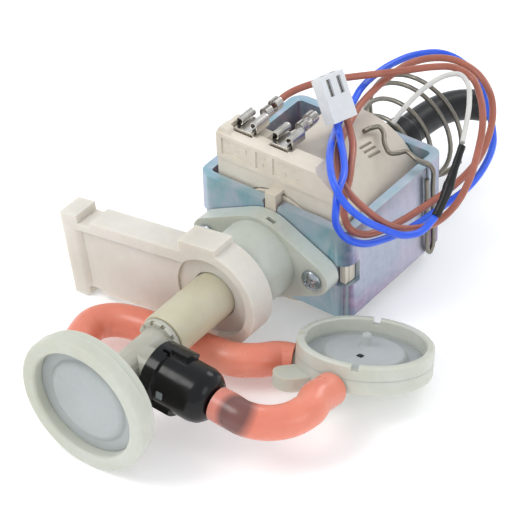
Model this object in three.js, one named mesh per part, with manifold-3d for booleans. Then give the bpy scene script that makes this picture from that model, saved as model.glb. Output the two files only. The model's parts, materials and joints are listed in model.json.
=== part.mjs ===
// Solenoid vibration pump with its two pulsation dampers, silicone hoses, rubber mount and wiring pigtail.
// Millimetres, +Z up. Y runs along the pump axis: the outlet side faces -Y and the inlet side faces +Y.
// Every piece is drawn in the pump's own coordinates (origin on the pump axis, at the yoke's front face)
// and the whole assembly is then set on its resting surface, centred on its footprint.
import * as THREE from 'three';
import { mergeVertices } from 'three/addons/utils/BufferGeometryUtils.js';
import Module from 'manifold-3d';

const wasm = await Module();
wasm.setup();

// ---------------------------------------------------------------- driving dimensions

const GAP = 0.3; // clearance kept between pieces that touch

const YOKE = { width: 55, depth: 51.2, height: 32.1, plate: 3, corner: 4.5, bore: 8.3, seamY: 41.4 };
const COIL = { front: 3.5, rear: 47.8, radius: 21.5, bore: 17.9, rearLip: 22.2 };
const BAR = { left: -22.3, right: 20, back: 9.5, top: 31.5, slopeFrom: 13, slopeTo: 26 };
const TERMINAL_X = [-14.4, -1.4];
const GUIDE = { inner: 5.6, outer: 6.3, front: -4.2, rear: 57 };
const SCREW = { x: 19.3, shank: 1.6, head: 3.4 };
const HEAD = { flangeFront: -6, flangeBack: -0.3, flangeRadius: 14, earRadius: 5.4, domeFront: -20.7 };
const OUTLET = { radius: 7.2, bore: 5.2, rear: -13.5, front: -52 };
const MOUNT = { rear: -21, front: -30, bore: 7.5, radius: 16, reach: 55, tilt: 8 };
const TEE = { radius: 4.95, bore: 3, front: -79.4, branchY: -63.7, branchTilt: 4.5 };
const DAMPER_1 = { rear: -80, front: -88.8, radius: 21.5, opening: 17 };
const DAMPER_2 = { x: 43.65, y: -13.26, z: -6.66, radius: 20.1, tiltX: -17.28, tiltY: -5.89 };
const HOSE = { outer: 5.1 };
const WIRE_RADIUS = 1.1;
const LEAD_RADIUS = 0.8;
const STEEL_WIRE_RADIUS = 0.75;

// The resting surface lies this far under the pump axis, and the footprint's centre is here.
const AXIS_HEIGHT = 21.5;
const FOOTPRINT_CENTRE = { x: 3.98, y: 8.35 };

// ---------------------------------------------------------------- materials

function finish(color, roughness, metalness = 0) {
  return new THREE.MeshStandardMaterial({ color, roughness, metalness });
}

const FINISH = {
  zincPlate: finish('#a9b2c6', 0.35, 1),
  coilPlastic: finish('#e8dcc9', 0.55),
  headPlastic: finish('#c9cdba', 0.45),
  outletPlastic: finish('#d9d7b4', 0.4),
  silicone: finish('#efece2', 0.5),
  damperPlastic: finish('#efeddd', 0.45),
  membrane: finish('#d9dcd8', 0.4),
  hose: finish('#ee8b6f', 0.4),
  black: finish('#1a1a1a', 0.35),
  rubber: finish('#202020', 0.7),
  springSteel: finish('#7c776c', 0.35, 1),
  screwSteel: finish('#c3c6c9', 0.25, 1),
  steel: finish('#b4b4b0', 0.35, 1),
  tinPlate: finish('#c4c0b6', 0.35, 1),
  copper: finish('#b8693a', 0.35, 1),
  brass: finish('#c9a35a', 0.35, 1),
  connector: finish('#eef0f2', 0.45),
  blueWire: finish('#2f63ee', 0.4),
  brownWire: finish('#a9573f', 0.4),
  whiteWire: finish('#e9e9e4', 0.5),
};

// ---------------------------------------------------------------- solids

// A closed three.js geometry as a manifold solid, facing out, in its own vertices.
function solid(geometry) {
  const bare = geometry.clone();
  bare.deleteAttribute('normal');
  bare.deleteAttribute('uv');
  const merged = mergeVertices(bare, 1e-4);
  const points = merged.attributes.position.array;
  const triangles = [];
  for (let i = 0; i < merged.index.count; i += 3) {
    const [a, b, c] = [0, 1, 2].map((k) => merged.index.getX(i + k));
    if (a !== b && b !== c && c !== a) triangles.push([a, b, c]);
  }
  const corner = (i) => new THREE.Vector3(points[3 * i], points[3 * i + 1], points[3 * i + 2]);
  const volume = triangles.reduce((sum, t) => sum + corner(t[0]).dot(corner(t[1]).cross(corner(t[2]))), 0);
  const outward = volume < 0 ? triangles.map(([a, b, c]) => [a, c, b]) : triangles;
  return new wasm.Manifold(new wasm.Mesh({
    numProp: 3,
    vertProperties: Float32Array.from(points),
    triVerts: Uint32Array.from(outward.flat()),
  }));
}

function geometryOf(body) {
  const mesh = body.getMesh();
  const geometry = new THREE.BufferGeometry();
  geometry.setAttribute('position', new THREE.BufferAttribute(Float32Array.from(mesh.vertProperties), 3));
  geometry.setIndex(Array.from(mesh.triVerts));
  geometry.computeVertexNormals();
  return geometry;
}

function union(...bodies) {
  return bodies.reduce((all, next) => all.add(next));
}

function cut(body, ...tools) {
  return tools.reduce((left, tool) => left.subtract(tool), body);
}

function box(x0, x1, y0, y1, z0, z1) {
  const geometry = new THREE.BoxGeometry(x1 - x0, y1 - y0, z1 - z0);
  return solid(geometry.translate((x0 + x1) / 2, (y0 + y1) / 2, (z0 + z1) / 2));
}

// A solid of revolution about the Y axis. The profile is [radius, y] points; one that stays off the
// axis is closed into a ring.
function turned(profile, segments = 48) {
  const points = profile.map(([r, y]) => new THREE.Vector2(r, y));
  if (profile[0][0] > 0) points.push(points[0].clone());
  return solid(new THREE.LatheGeometry(points, segments));
}

function rod(radius, y0, y1, segments = 32) {
  return turned([[0, y0], [radius, y0], [radius, y1], [0, y1]], segments);
}

function ring(inner, outer, y0, y1, segments = 48) {
  return turned([[inner, y0], [outer, y0], [outer, y1], [inner, y1]], segments);
}

// Extrusions of an outline: along Z, along Y (outline in x, z) and along X (outline in y, z).
function prismZ(shape, z0, z1, curveSegments = 8) {
  const geometry = new THREE.ExtrudeGeometry(shape, { depth: z1 - z0, bevelEnabled: false, curveSegments });
  return solid(geometry.translate(0, 0, z0));
}

function prismY(shape, y0, y1, curveSegments = 8) {
  const geometry = new THREE.ExtrudeGeometry(shape, { depth: y1 - y0, bevelEnabled: false, curveSegments });
  return solid(geometry.rotateX(Math.PI / 2).translate(0, y1, 0));
}

function prismX(shape, x0, x1, curveSegments = 8) {
  const geometry = new THREE.ExtrudeGeometry(shape, { depth: x1 - x0, bevelEnabled: false, curveSegments });
  const turn = new THREE.Matrix4().makeBasis(
    new THREE.Vector3(0, 1, 0), new THREE.Vector3(0, 0, 1), new THREE.Vector3(1, 0, 0));
  return solid(geometry.applyMatrix4(turn).translate(x0, 0, 0));
}

function polygon(...points) {
  return new THREE.Shape(points.map(([x, y]) => new THREE.Vector2(x, y)));
}

function roundedRectangle(x0, x1, y0, y1, r) {
  const shape = new THREE.Shape();
  shape.absarc(x1 - r, y1 - r, r, 0, Math.PI / 2);
  shape.absarc(x0 + r, y1 - r, r, Math.PI / 2, Math.PI);
  shape.absarc(x0 + r, y0 + r, r, Math.PI, 1.5 * Math.PI);
  shape.absarc(x1 - r, y0 + r, r, 1.5 * Math.PI, 2 * Math.PI);
  return shape;
}

// A round bar along a smooth curve through the points.
function tube(points, radius, sides, steps) {
  const corners = Array.from({ length: sides }, (_, i) => {
    const angle = (2 * Math.PI * i) / sides;
    return new THREE.Vector2(radius * Math.cos(angle), radius * Math.sin(angle));
  });
  const path = new THREE.CatmullRomCurve3(points.map((p) => new THREE.Vector3(...p)), false, 'centripetal');
  return solid(new THREE.ExtrudeGeometry(new THREE.Shape(corners), { steps, extrudePath: path }));
}

// A coil spring about the Y axis, with one [radius, y] station per turn.
function spring(stations, wire, stepsPerTurn, startAngle = 0) {
  const turns = stations.length - 1;
  const points = [];
  for (let i = 0; i <= turns * stepsPerTurn; i += 1) {
    const turn = i / stepsPerTurn;
    const low = Math.min(Math.floor(turn), turns - 1);
    const share = turn - low;
    const [radius, y] = [0, 1].map((k) => stations[low][k] * (1 - share) + stations[low + 1][k] * share);
    const angle = startAngle + 2 * Math.PI * turn;
    points.push([radius * Math.cos(angle), y, radius * Math.sin(angle)]);
  }
  return tube(points, wire, 5, turns * stepsPerTurn);
}

function evenSpring(radius, wire, y0, y1, turns, stepsPerTurn = 8) {
  const stations = Array.from({ length: turns + 1 }, (_, i) => [radius, y0 + ((y1 - y0) * i) / turns]);
  return spring(stations, wire, stepsPerTurn);
}

const pump = new THREE.Group();

function addTo(group, name, material, body) {
  const mesh = new THREE.Mesh(geometryOf(body), material.clone());
  mesh.name = name;
  group.add(mesh);
}

const add = (name, material, body) => addTo(pump, name, material, body);

// ---------------------------------------------------------------- steel yoke

// One strip bent into a closed loop round the coil, with its joint in the right wall.
function yokeFrame() {
  const { width, depth, height, plate, corner } = YOKE;
  const half = width / 2;
  const top = height / 2;
  const outline = roundedRectangle(-half, half, 0, depth, corner);
  outline.holes.push(roundedRectangle(-half + plate, half - plate, plate, depth - plate, corner - plate));
  const loop = prismZ(outline, -top, top, 5);
  const mouths = rod(YOKE.bore, -1, depth + 1);
  const notch = union(
    prismY(new THREE.Shape().absarc(0, top - 2.1, 2.4, 0, 2 * Math.PI), -1, plate + 0.4, 16),
    prismY(polygon([-2.4, top - 2], [2.4, top - 2], [3.2, top + 1], [-3.2, top + 1]), -1, plate + 0.4),
  );
  const windows = [-1, 1].map((side) => {
    const near = side * (half - 4.2);
    const far = side * (half + 1);
    return box(Math.min(near, far), Math.max(near, far), -1, 6.5, -4.2, 3.2);
  });
  const creases = [-1, 1].map((side) => {
    const groove = new THREE.CylinderGeometry(1.1, 1.1, 14, 10).rotateX(Math.PI / 2);
    return solid(groove.translate(side * (half - 0.9), 0.9, -11));
  });
  const slit = (y, z0, z1) => box(half - plate - 1, half + 1, y - 0.2, y + 0.2, z0, z1);
  const link = (y0, y1, z) => box(half - plate - 1, half + 1, y0 - 0.2, y1 + 0.2, z - 0.2, z + 0.2);
  const { seamY } = YOKE;
  const seam = [slit(seamY, -top - 1, -4), link(seamY - 0.9, seamY, -4), slit(seamY - 0.9, -4, 4),
    link(seamY - 0.9, seamY, 4), slit(seamY, 4, top + 1)];
  const screwHoles = [-1, 1].map((side) => {
    const hole = new THREE.CylinderGeometry(SCREW.shank + GAP, SCREW.shank + GAP, plate + 2, 12);
    return solid(hole.translate(side * SCREW.x, plate / 2, 0));
  });
  return cut(loop, mouths, notch, ...windows, ...creases, ...seam, ...screwHoles);
}

add('yoke_frame', FINISH.zincPlate, yokeFrame());

// ---------------------------------------------------------------- coil

// Moulded coil body: a round jacket, a terminal bar across the front and a sloping shoulder behind it.
function coilBody() {
  const { front, rear, radius, bore, rearLip } = COIL;
  const face = front + 0.6;
  const jacket = rod(radius, face, rear, 44);
  const shoulderCone = turned([[0, face], [29.5, face], [rearLip, rear], [0, rear]], 44);
  const slope = prismX(polygon([BAR.back - 1, 4], [rear, 4], [rear, 22.2], [BAR.back - 1, 28.4]), -9.5, 24.1);
  const shoulder = slope.intersect(shoulderCone);
  const bar = prismX(polygon([front, 0], [BAR.back, 0], [BAR.back, BAR.top], [front + 1.4, BAR.top],
    [front, BAR.top - 0.9]), BAR.left, BAR.right);
  const slopeOutline = polygon([BAR.slopeFrom, BAR.top], [BAR.slopeFrom, BAR.top + 1], [BAR.right + 1, BAR.top + 1],
    [BAR.right + 1, BAR.slopeTo], [BAR.right, BAR.slopeTo]);
  const rightSlope = prismY(slopeOutline, front - 1, BAR.back + 1);
  const lowerStep = box(BAR.left - 1, BAR.right + 1, front - 1, face, -1, 22);
  const leftBoss = prismY(new THREE.Shape().absarc(BAR.left + 2.6, BAR.top - 1.4, 2.6, 0, 2 * Math.PI),
    face, BAR.back + 3, 20);
  const shelf = box(BAR.left + 1.5, -9, BAR.back - 1, BAR.back + 5, 8, 29.6);
  const skirt = box(BAR.left, BAR.right + 3.6, face, BAR.back, 0, YOKE.height / 2 + 1);
  const nub = union(
    prismY(new THREE.Shape().absarc(0, YOKE.height / 2 - 2.1, 2, 0, 2 * Math.PI), 0, YOKE.plate + 0.1, 12),
    box(-1.9, 1.9, 0, YOKE.plate + 0.1, YOKE.height / 2 - 2, bore + 1.4),
    box(-1.9, 1.9, 0, front + 1.5, bore + 0.2, bore + 1.4),
  );
  const lugs = [-1, 1].map((side) => {
    const span = (a, b, y0) => box(Math.min(side * a, side * b), Math.max(side * a, side * b), y0, 6.2, -3.9, 2.9);
    return union(span(19.5, 26, 3.5), span(23.7, 25.7, 1.8));
  });
  const hull = union(jacket, shoulder, cut(bar, rightSlope, lowerStep), leftBoss, shelf, skirt, ...lugs);
  const labelPanels = [[-20.4, -9.4], [-7.8, -3.6], [-1.6, 9.5]].map(([x0, x1]) =>
    box(x0, x1, front - 1, front + 0.4, 23.6, 29.4));
  const pockets = TERMINAL_X.map((x) => box(x - 3.5, x + 3.5, 6.1, 7.9, 26.5, 33));
  const seats = box(BAR.left + 3, 3, BAR.back - 2.6, 40, 30.6, 40);
  const ribSlots = [0, 1, 2].map((i) => box(10.5 + 1.6 * i, 11.3 + 1.6 * i, 30, 36, 19.5 - i, 40));
  return cut(hull, rod(bore, 0, 60, 40), seats, ...labelPanels, ...pockets, ...ribSlots).add(nub);
}

add('coil_body', FINISH.coilPlastic, coilBody());

add('coil_bobbin', FINISH.coilPlastic, turned([[8.4, 3.4], [17.5, 3.4], [17.5, 5], [9.4, 5], [9.4, 46.2],
  [17.5, 46.2], [17.5, 47.8], [8.4, 47.8]], 28));
add('coil_winding', FINISH.copper, ring(9.7, 17, 5.3, 45.9, 28));

// ---------------------------------------------------------------- terminals and push-on receptacles

const RECEPTACLE = { floor: 31.05, sheet: 0.35, front: 8.2, back: 14.6, wall: 3.45, curl: 1.2 };

function tab(x) {
  const leg = box(x - 3.15, x + 3.15, 6.6, 7.4, 27, 32.5);
  const blade = box(x - 3.15, x + 3.15, 6.6, 14.2, 31.75, 32.5);
  return union(leg, blade);
}

// Rolled receptacle: a floor under the blade, two curled edges over it, and two crimp barrels behind.
function receptacle(x) {
  const { floor, sheet, front, back, wall, curl } = RECEPTACLE;
  const hollow = (cx, cz, r, y0, y1, sides) => {
    const circle = (radius) => new THREE.Shape().absarc(cx, cz, radius, 0, 2 * Math.PI);
    return cut(prismY(circle(r), y0, y1, sides), prismY(circle(r - sheet), y0 - 1, y1 + 1, sides));
  };
  const edges = [-1, 1].map((side) => {
    const roll = hollow(x + side * (wall + sheet - curl), floor + 2.9, curl, front, back, 7);
    const edge = new THREE.BoxGeometry(sheet, back - front, 2.9);
    return roll.add(solid(edge.translate(x + side * (wall + sheet / 2), (front + back) / 2, floor + 1.45)));
  });
  const plate = box(x - wall - sheet, x + wall + sheet, front, back, floor, floor + sheet);
  const neck = box(x - 1.5, x + 1.5, back - 0.3, 24.2, floor, floor + sheet);
  return union(plate, neck, ...edges, hollow(x, floor + 1.7, 1.7, 16.8, 19.6, 9),
    hollow(x, floor + 1.95, 1.95, 21.2, 24.2, 9));
}

['left', 'right'].forEach((side, i) => {
  add(`terminal_tab_${side}`, FINISH.tinPlate, tab(TERMINAL_X[i]));
  add(`receptacle_${side}`, FINISH.tinPlate, receptacle(TERMINAL_X[i]));
});

// ---------------------------------------------------------------- pole pieces, guide tube and plunger

add('guide_tube', FINISH.brass, ring(GUIDE.inner, GUIDE.outer, GUIDE.front, GUIDE.rear, 24));
add('front_pole_sleeve', FINISH.steel, ring(GUIDE.outer + GAP, YOKE.bore - GAP, 0.1, 18, 24));
add('air_gap_spacer', FINISH.outletPlastic, ring(GUIDE.outer + GAP, YOKE.bore - GAP, 18.3, 31.7, 24));
add('rear_pole_sleeve', FINISH.steel, ring(GUIDE.outer + GAP, YOKE.bore - GAP, 32, 51, 24));

const PLUNGER = { radius: 5.35, front: 14, rear: 38, rod: 1.9, nose: -9, bore: 0.8 };

add('plunger', FINISH.steel, turned([[PLUNGER.bore, PLUNGER.nose], [PLUNGER.rod, PLUNGER.nose],
  [PLUNGER.rod, PLUNGER.front], [PLUNGER.radius, PLUNGER.front], [PLUNGER.radius, PLUNGER.rear],
  [2.6, PLUNGER.rear], [2.6, PLUNGER.rear - 4], [PLUNGER.bore, PLUNGER.rear - 4]], 24));
add('buffer_spring', FINISH.springSteel, evenSpring(4.5, 0.45, -3.5, PLUNGER.front - 0.8, 5));
add('main_spring', FINISH.springSteel, evenSpring(4.2, 0.45, PLUNGER.rear + 0.8, 52.4, 5));
add('inlet_valve', FINISH.rubber, turned([[0, -12.2], [1.7, -11.6], [1.7, -10.4], [0.5, -9.9],
  [0.5, -6.5], [0, -6.5]], 20));

// Plain bush that closes the guide tube and carries the inlet nipple.
add('inlet_fitting', FINISH.outletPlastic, turned([[1.6, 53.3], [5.2, 53.3], [5.2, GUIDE.rear + GAP],
  [7.6, GUIDE.rear + GAP], [7.6, 60], [3.4, 60], [3.4, 64], [3.9, 64.4], [3.1, 67.5], [1.6, 67.5]], 24));

// ---------------------------------------------------------------- pump head

function earedOutline(big, small, x) {
  const turn = Math.acos((big - small) / x);
  const shape = new THREE.Shape();
  shape.absarc(x, 0, small, -turn, turn);
  shape.absarc(0, 0, big, turn, Math.PI - turn);
  shape.absarc(-x, 0, small, Math.PI - turn, Math.PI + turn);
  shape.absarc(0, 0, big, Math.PI + turn, 2 * Math.PI - turn);
  return shape;
}

function pumpHead() {
  const { flangeFront, flangeBack, domeFront } = HEAD;
  const flange = prismY(earedOutline(HEAD.flangeRadius, HEAD.earRadius, SCREW.x), flangeFront, flangeBack, 8);
  const dome = turned([[0, flangeBack - 1], [12.6, flangeBack - 1], [12.5, -12.5], [11.7, -15.4], [10.4, -17.8],
    [9.3, -19.2], [9.1, domeFront], [0, domeFront]], 36);
  const screwHoles = [-1, 1].map((side) => rod(1.9, -8, 2, 12).translate(side * SCREW.x, 0, 0));
  const tubeSocket = rod(GUIDE.outer + GAP, GUIDE.front - GAP, 1, 24);
  const rodBore = rod(2.1, -11, 0, 20);
  const sealPocket = rod(3.9, -8.6, -4, 20);
  const outletBore = rod(OUTLET.radius + GAP, domeFront - 1, OUTLET.rear + GAP, 32);
  const throat = rod(3, OUTLET.rear - 1, -10.8, 24);
  const slot = box(1.6, 4.6, -4.6, -3.2, 11, 16);
  return cut(union(flange, dome), ...screwHoles, tubeSocket, rodBore, sealPocket, outletBore, throat, slot);
}

add('pump_head', FINISH.headPlastic, pumpHead());
add('piston_seal', FINISH.rubber, ring(2.2, 3.6, -8.3, -4.7, 24));

// Pan-head screw with a six-lobe recess.
function headScrew(side) {
  const head = turned([[0, -8.2], [1.4, -8.1], [2.6, -7.6], [3.3, -6.9], [3.4, -6.3], [1.6, -6.3], [1.6, 2.6],
    [0, 2.6]], 18);
  const lobes = [0, 1, 2].map((i) => {
    const bar = new THREE.BoxGeometry(3, 1.4, 0.8);
    return solid(bar.rotateY((i * Math.PI) / 3).translate(0, -8.1, 0));
  });
  return cut(head, ...lobes).translate(side * SCREW.x, 0, 0);
}

add('head_screw_left', FINISH.screwSteel, headScrew(-1));
add('head_screw_right', FINISH.screwSteel, headScrew(1));

// ---------------------------------------------------------------- outlet side

add('outlet_tube', FINISH.outletPlastic, ring(OUTLET.bore, OUTLET.radius, OUTLET.front, OUTLET.rear, 36));
add('valve_seat', FINISH.outletPlastic, ring(1.5, OUTLET.bore - GAP, -19, -14, 28));
add('outlet_valve', FINISH.rubber, turned([[0, -23.5], [1.2, -23.5], [1.2, -21.2], [3.2, -21.2], [3.2, -19.4],
  [1.1, -19.4], [1.1, -17], [0, -17]], 20));
add('outlet_spring', FINISH.springSteel, evenSpring(2.4, 0.35, -32.4, -21.9, 5));
add('spring_stop', FINISH.outletPlastic, turned([[1.4, -36], [OUTLET.bore - GAP, -36], [OUTLET.bore - GAP, -33.2],
  [1.4, -33.2]], 28));

// Silicone vibration mount: a thick eye round the outlet tube with a slab arm and a notched end.
function siliconeMount() {
  const { rear, front, bore, radius, reach } = MOUNT;
  const eye = turned([[0, front], [radius, front], [radius, rear], [0, rear]], 44);
  const hump = box(-9, 4.5, front, rear, 12, 17.6);
  const arm = box(-reach, 0, front, rear, -13, 13.8);
  const head = box(-reach, -reach + 6.4, front, rear, -13.9, 15);
  const rimRecess = rod(13, front - 1, front + 2.2, 40);
  const armRecess = prismX(polygon([front - 1, -20], [front + 1.4, -20], [front + 1.4, 8.6], [front - 1, 11]),
    -reach + 6.4, 0);
  const endSlope = prismZ(polygon([-reach + 4.2, front - 0.1], [-reach + 6.5, front - 0.1],
    [-reach + 6.5, front + 1.4]), -20, 10);
  const edgeNotch = box(-reach + 6.4, -reach + 11.4, front - 1, rear + 1, 12.2, 20);
  const lowNotch = box(-reach + 5.4, -reach + 9.6, front - 1, rear + 1, -20, -11.2);
  const body = cut(union(eye, hump, arm, head), rimRecess, armRecess, endSlope, edgeNotch, lowNotch);
  return cut(body, rod(bore, front - 1, rear + 1, 36));
}

add('silicone_mount', FINISH.silicone, siliconeMount().rotate([0, -MOUNT.tilt, 0]));

// Tee piece: neck into the outlet tube, toothed collar, side branch to the snap cap, and the damper neck.
function teePiece() {
  const { radius, bore, front, branchY, branchTilt } = TEE;
  const neck = rod(radius - 0.1, OUTLET.front - 1, OUTLET.front + 12, 24);
  const collar = rod(6.6, OUTLET.front - 2.4, OUTLET.front - GAP, 24);
  const teeth = Array.from({ length: 10 }, (_, i) => {
    const gap = new THREE.BoxGeometry(2, 1.6, 1.4).translate(6.3, OUTLET.front - 2.2, 0);
    return solid(gap.rotateY((i * Math.PI) / 5));
  });
  const main = rod(radius, front, OUTLET.front - 1, 24);
  const branch = rod(5.2, 0, 12.5, 24);
  const barb = rod(4.4, 12, 15, 24);
  const place = (body) => body.rotate([0, 0, -90]).rotate([0, branchTilt, 0]).translate(0, branchY, 0);
  const outside = union(cut(union(neck, collar), ...teeth), main, place(union(branch, barb)));
  return cut(outside, rod(bore, front - 1, OUTLET.front + 13, 20), place(rod(bore, 0, 16, 20)));
}

add('tee_piece', FINISH.headPlastic, teePiece());

// Snap cap that locks on the branch with two opposite tabs and ends in a hose barb.
function snapCap() {
  const profile = [[5.5, 7.6], [9.5, 7.6], [9.5, 11.4], [8.4, 11.9], [8.3, 23], [7.7, 25.2], [6.4, 26.8],
    [4.4, 27.8], [2.9, 28], [2.9, 33.6], [3.6, 34], [2.8, 38], [1.5, 38], [1.5, 24], [4.7, 24], [4.7, 15.3],
    [5.5, 15.3]];
  const tabs = ring(8, 9.7, 10.8, 17).intersect(box(-3.7, 3.7, 10, 18, -12, 12));
  const slots = union(box(-3.7, -2.7, 9.4, 18, -12, 12), box(4.4, 5.4, 9.4, 18, -12, 12));
  const grooves = cut(slots, rod(8.1, 0, 20, 30));
  const body = cut(union(turned(profile, 30), tabs), grooves).rotate([0, -30, 0]);
  return body.rotate([0, 0, -90]).rotate([0, TEE.branchTilt, 0]).translate(0, TEE.branchY, 0);
}

add('snap_cap', FINISH.black, snapCap());
add('cap_seal', FINISH.rubber, ring(1.8, 4.3, 16, 18.2, 20)
  .rotate([0, 0, -90]).rotate([0, TEE.branchTilt, 0]).translate(0, TEE.branchY, 0));

// ---------------------------------------------------------------- front damper

// Shallow cup pushed on the tee's neck, a clamp ring over its rim and a flexing disc between them.
function damperCup() {
  const { rear } = DAMPER_1;
  return turned([[3, rear], [5.25, rear], [5.25, rear + 5.5], [6.8, rear + 5.5], [7.4, rear - 0.6],
    [19.4, rear - 0.6], [20.8, rear - 1.6], [20.8, rear - 4.2], [18.6, rear - 4.2], [18.6, rear - 2.4],
    [3, rear - 2.4]], 40);
}

function damperRing() {
  const { rear, front, radius, opening } = DAMPER_1;
  return turned([[opening, front + 0.7], [opening + 0.7, front], [radius - 0.6, front], [radius, front + 0.7],
    [radius, rear - 4.25], [opening, rear - 4.25]], 48);
}

add('damper_1_cup', FINISH.damperPlastic, damperCup());
add('damper_1_ring', FINISH.damperPlastic, damperRing());
add('damper_1_disc', FINISH.membrane, turned([[0, -86.3], [11.6, -86.3], [12.6, -85.9], [13.4, -85.2],
  [16.6, -85.2], [16.6, -84.4], [12.8, -84.4], [11.8, -85.1], [0, -85.1]], 36));

// ---------------------------------------------------------------- flat damper

// Drawn upright about its own Z axis, then leaned: its far edge rests on the surface.
const flatDamper = new THREE.Group();
flatDamper.position.set(DAMPER_2.x, DAMPER_2.y, DAMPER_2.z);
flatDamper.rotation.x = THREE.MathUtils.degToRad(DAMPER_2.tiltX);
flatDamper.rotation.y = THREE.MathUtils.degToRad(DAMPER_2.tiltY);
pump.add(flatDamper);

const PORT_PLACES = [{ angle: -84, height: -8.1 }, { angle: 205, height: -9.1 }];
const PORT = { radius: 3.1, bore: 1.6, reach: 24.4 };
const LUG = { angle: 240, halfWidth: 5, rounding: 4.4, reach: 28.4, top: -7.1, bottom: -11.3 };

const upright = (body) => body.rotate([90, 0, 0]);

function radialRod(radius, from, to, angle, height, segments = 20) {
  return rod(radius, from, to, segments).rotate([0, 0, angle - 90]).translate(0, 0, height);
}

// Lower shell: floor, wall, round foot, two hose ports and a side lug.
function damperBase() {
  const r = DAMPER_2.radius;
  const outside = upright(turned([[0, -11.2], [13.4, -11.2], [14, -10.6], [14, -9], [19.2, -9], [r, -8.2],
    [r, -4.4], [0, -4.4]], 40));
  const chamber = upright(turned([[0, -7], [17.6, -7], [17.6, -3], [0, -3]], 32));
  const lug = prismZ(roundedRectangle(8, LUG.reach, -LUG.halfWidth, LUG.halfWidth, LUG.rounding),
    LUG.bottom, LUG.top, 5).rotate([0, 0, LUG.angle]);
  const ports = PORT_PLACES.map(({ angle, height }) => radialRod(PORT.radius, 15, PORT.reach, angle, height));
  const passages = PORT_PLACES.map(({ angle, height }) => union(
    radialRod(PORT.bore, 12.4, PORT.reach + 1, angle, height, 14),
    box(12.4, 14.8, -1.2, 1.2, height, -6.5).rotate([0, 0, angle]),
  ));
  return cut(union(outside, lug, ...ports), chamber, ...passages);
}

// Upper ring with two slots across its rim.
function damperRim() {
  const r = DAMPER_2.radius;
  const wall = upright(turned([[17.7, -4.35], [r, -4.35], [r, -0.5], [r - 0.5, 0], [18.1, 0],
    [17.7, -0.4]], 40));
  const slots = [[113, -1.9], [-66, -1.6], [205, -0.9]].map(([angle, floor]) =>
    box(16, 22, -1.1, 1.1, floor, 1).rotate([0, 0, angle]));
  return cut(wall, ...slots);
}

addTo(flatDamper, 'damper_2_base', FINISH.damperPlastic, damperBase());
addTo(flatDamper, 'damper_2_rim', FINISH.damperPlastic, damperRim());
addTo(flatDamper, 'damper_2_disc', FINISH.membrane, cut(upright(turned([[0, -3.8], [10.6, -3.8], [11.8, -5.5],
  [17.1, -5.5], [17.1, -4.8], [12.6, -4.8], [11.6, -2.8], [8, -2], [1.5, -1.3], [1.5, 2], [1, 2.6],
  [0, 2.7]], 36)), box(1.6, 3.4, -7.2, -5.8, -6, 0)));

// ---------------------------------------------------------------- silicone and rubber hoses

// A hose with an open bore; the bore runs a little past both ends.
function hose(points, outer, bore, steps, sides = 12) {
  const ends = points.map((p) => new THREE.Vector3(...p));
  const past = (a, b) => b.clone().add(b.clone().sub(a).setLength(0.5)).toArray();
  const longer = [past(ends[1], ends[0]), ...points, past(ends.at(-2), ends.at(-1))];
  return cut(tube(points, outer, sides, steps), tube(longer, bore, sides - 2, steps + 2));
}

// A point on a flat damper port, at a distance from the damper's own axis.
function onPort(index, distance) {
  const { angle, height } = PORT_PLACES[index];
  const point = new THREE.Vector3(distance, 0, height);
  point.applyAxisAngle(new THREE.Vector3(0, 0, 1), THREE.MathUtils.degToRad(angle));
  flatDamper.updateMatrix();
  return point.applyMatrix4(flatDamper.matrix).toArray();
}

// A point on the tee's side branch, at a distance from the pump axis.
function onBranch(distance) {
  const tilt = THREE.MathUtils.degToRad(TEE.branchTilt);
  return [distance * Math.cos(tilt), TEE.branchY, -distance * Math.sin(tilt)];
}

const HOSE_1_ROUTE = [onBranch(28.6), onBranch(33), onBranch(38), [42.6, -60.2, -4.7], [46.9, -55.2, -5.1],
  [48.9, -48.5, -5], onPort(0, 29), onPort(0, 25), onPort(0, 20.6)];
const HOSE_2_ROUTE = [onPort(1, 20.4), onPort(1, 25), [18.6, -32.6, -12.8], [13.4, -36, -12.7], [6, -37.4, -12.7],
  [-3, -37.8, -12.7], [-12, -38.6, -12.8], [-20.5, -39.4, -13], [-27.5, -42.2, -13], [-30.8, -47, -13],
  [-30, -53, -13.2], [-27.6, -59, -13.6]];

add('hose_1', FINISH.hose, hose(HOSE_1_ROUTE, HOSE.outer, 3.95, 20));
add('hose_2', FINISH.hose, hose(HOSE_2_ROUTE, HOSE.outer, 3.7, 26));
add('inlet_elbow', FINISH.rubber, union(
  ring(4.2, 6.5, 60.4, 71, 24),
  hose([[0, 70.5, 0], [0, 74, 0], [0.2, 80, -0.2], [0.9, 86.5, -0.5], [2.8, 92.8, -1.1], [6, 98, -2.1],
    [10.4, 101.8, -3.2]], 5, 3, 12),
));

// ---------------------------------------------------------------- suspension spring and clip wire

add('suspension_spring', FINISH.springSteel, spring([[9.4, 52.4], [10.9, 58], [12.9, 64.6], [16.4, 70.9],
  [17.8, 75.2], [18, 78]], STEEL_WIRE_RADIUS, 13, -0.5));

// Zig-zag hook on the coil, over the right wall and down in a long hairpin beside the joint.
const CLIP_ROUTE = [[8.4, 35.9, 24.4], [8.6, 39.3, 23.7], [10, 41.6, 23.4], [12.2, 40.6, 22.8],
  [15.2, 36.9, 22.2], [18.6, 34.8, 21.4], [20, 37.4, 20.4], [21, 40, 19.8], [25.4, 39.4, 18.8],
  [28, 41, 17.6], [28.9, 42.6, 14.6], [28.7, 43, 8], [28.7, 43.4, 0], [28.7, 43.7, -8], [28.7, 43.6, -14],
  [28.7, 42.2, -16], [28.7, 40.8, -14.4], [28.7, 40.4, -8], [28.7, 40.1, 0], [28.7, 39.8, 8],
  [28.7, 39.6, 13]];
add('clip_wire', FINISH.springSteel, tube(CLIP_ROUTE, STEEL_WIRE_RADIUS, 6, 56));

// ---------------------------------------------------------------- wiring

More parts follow.
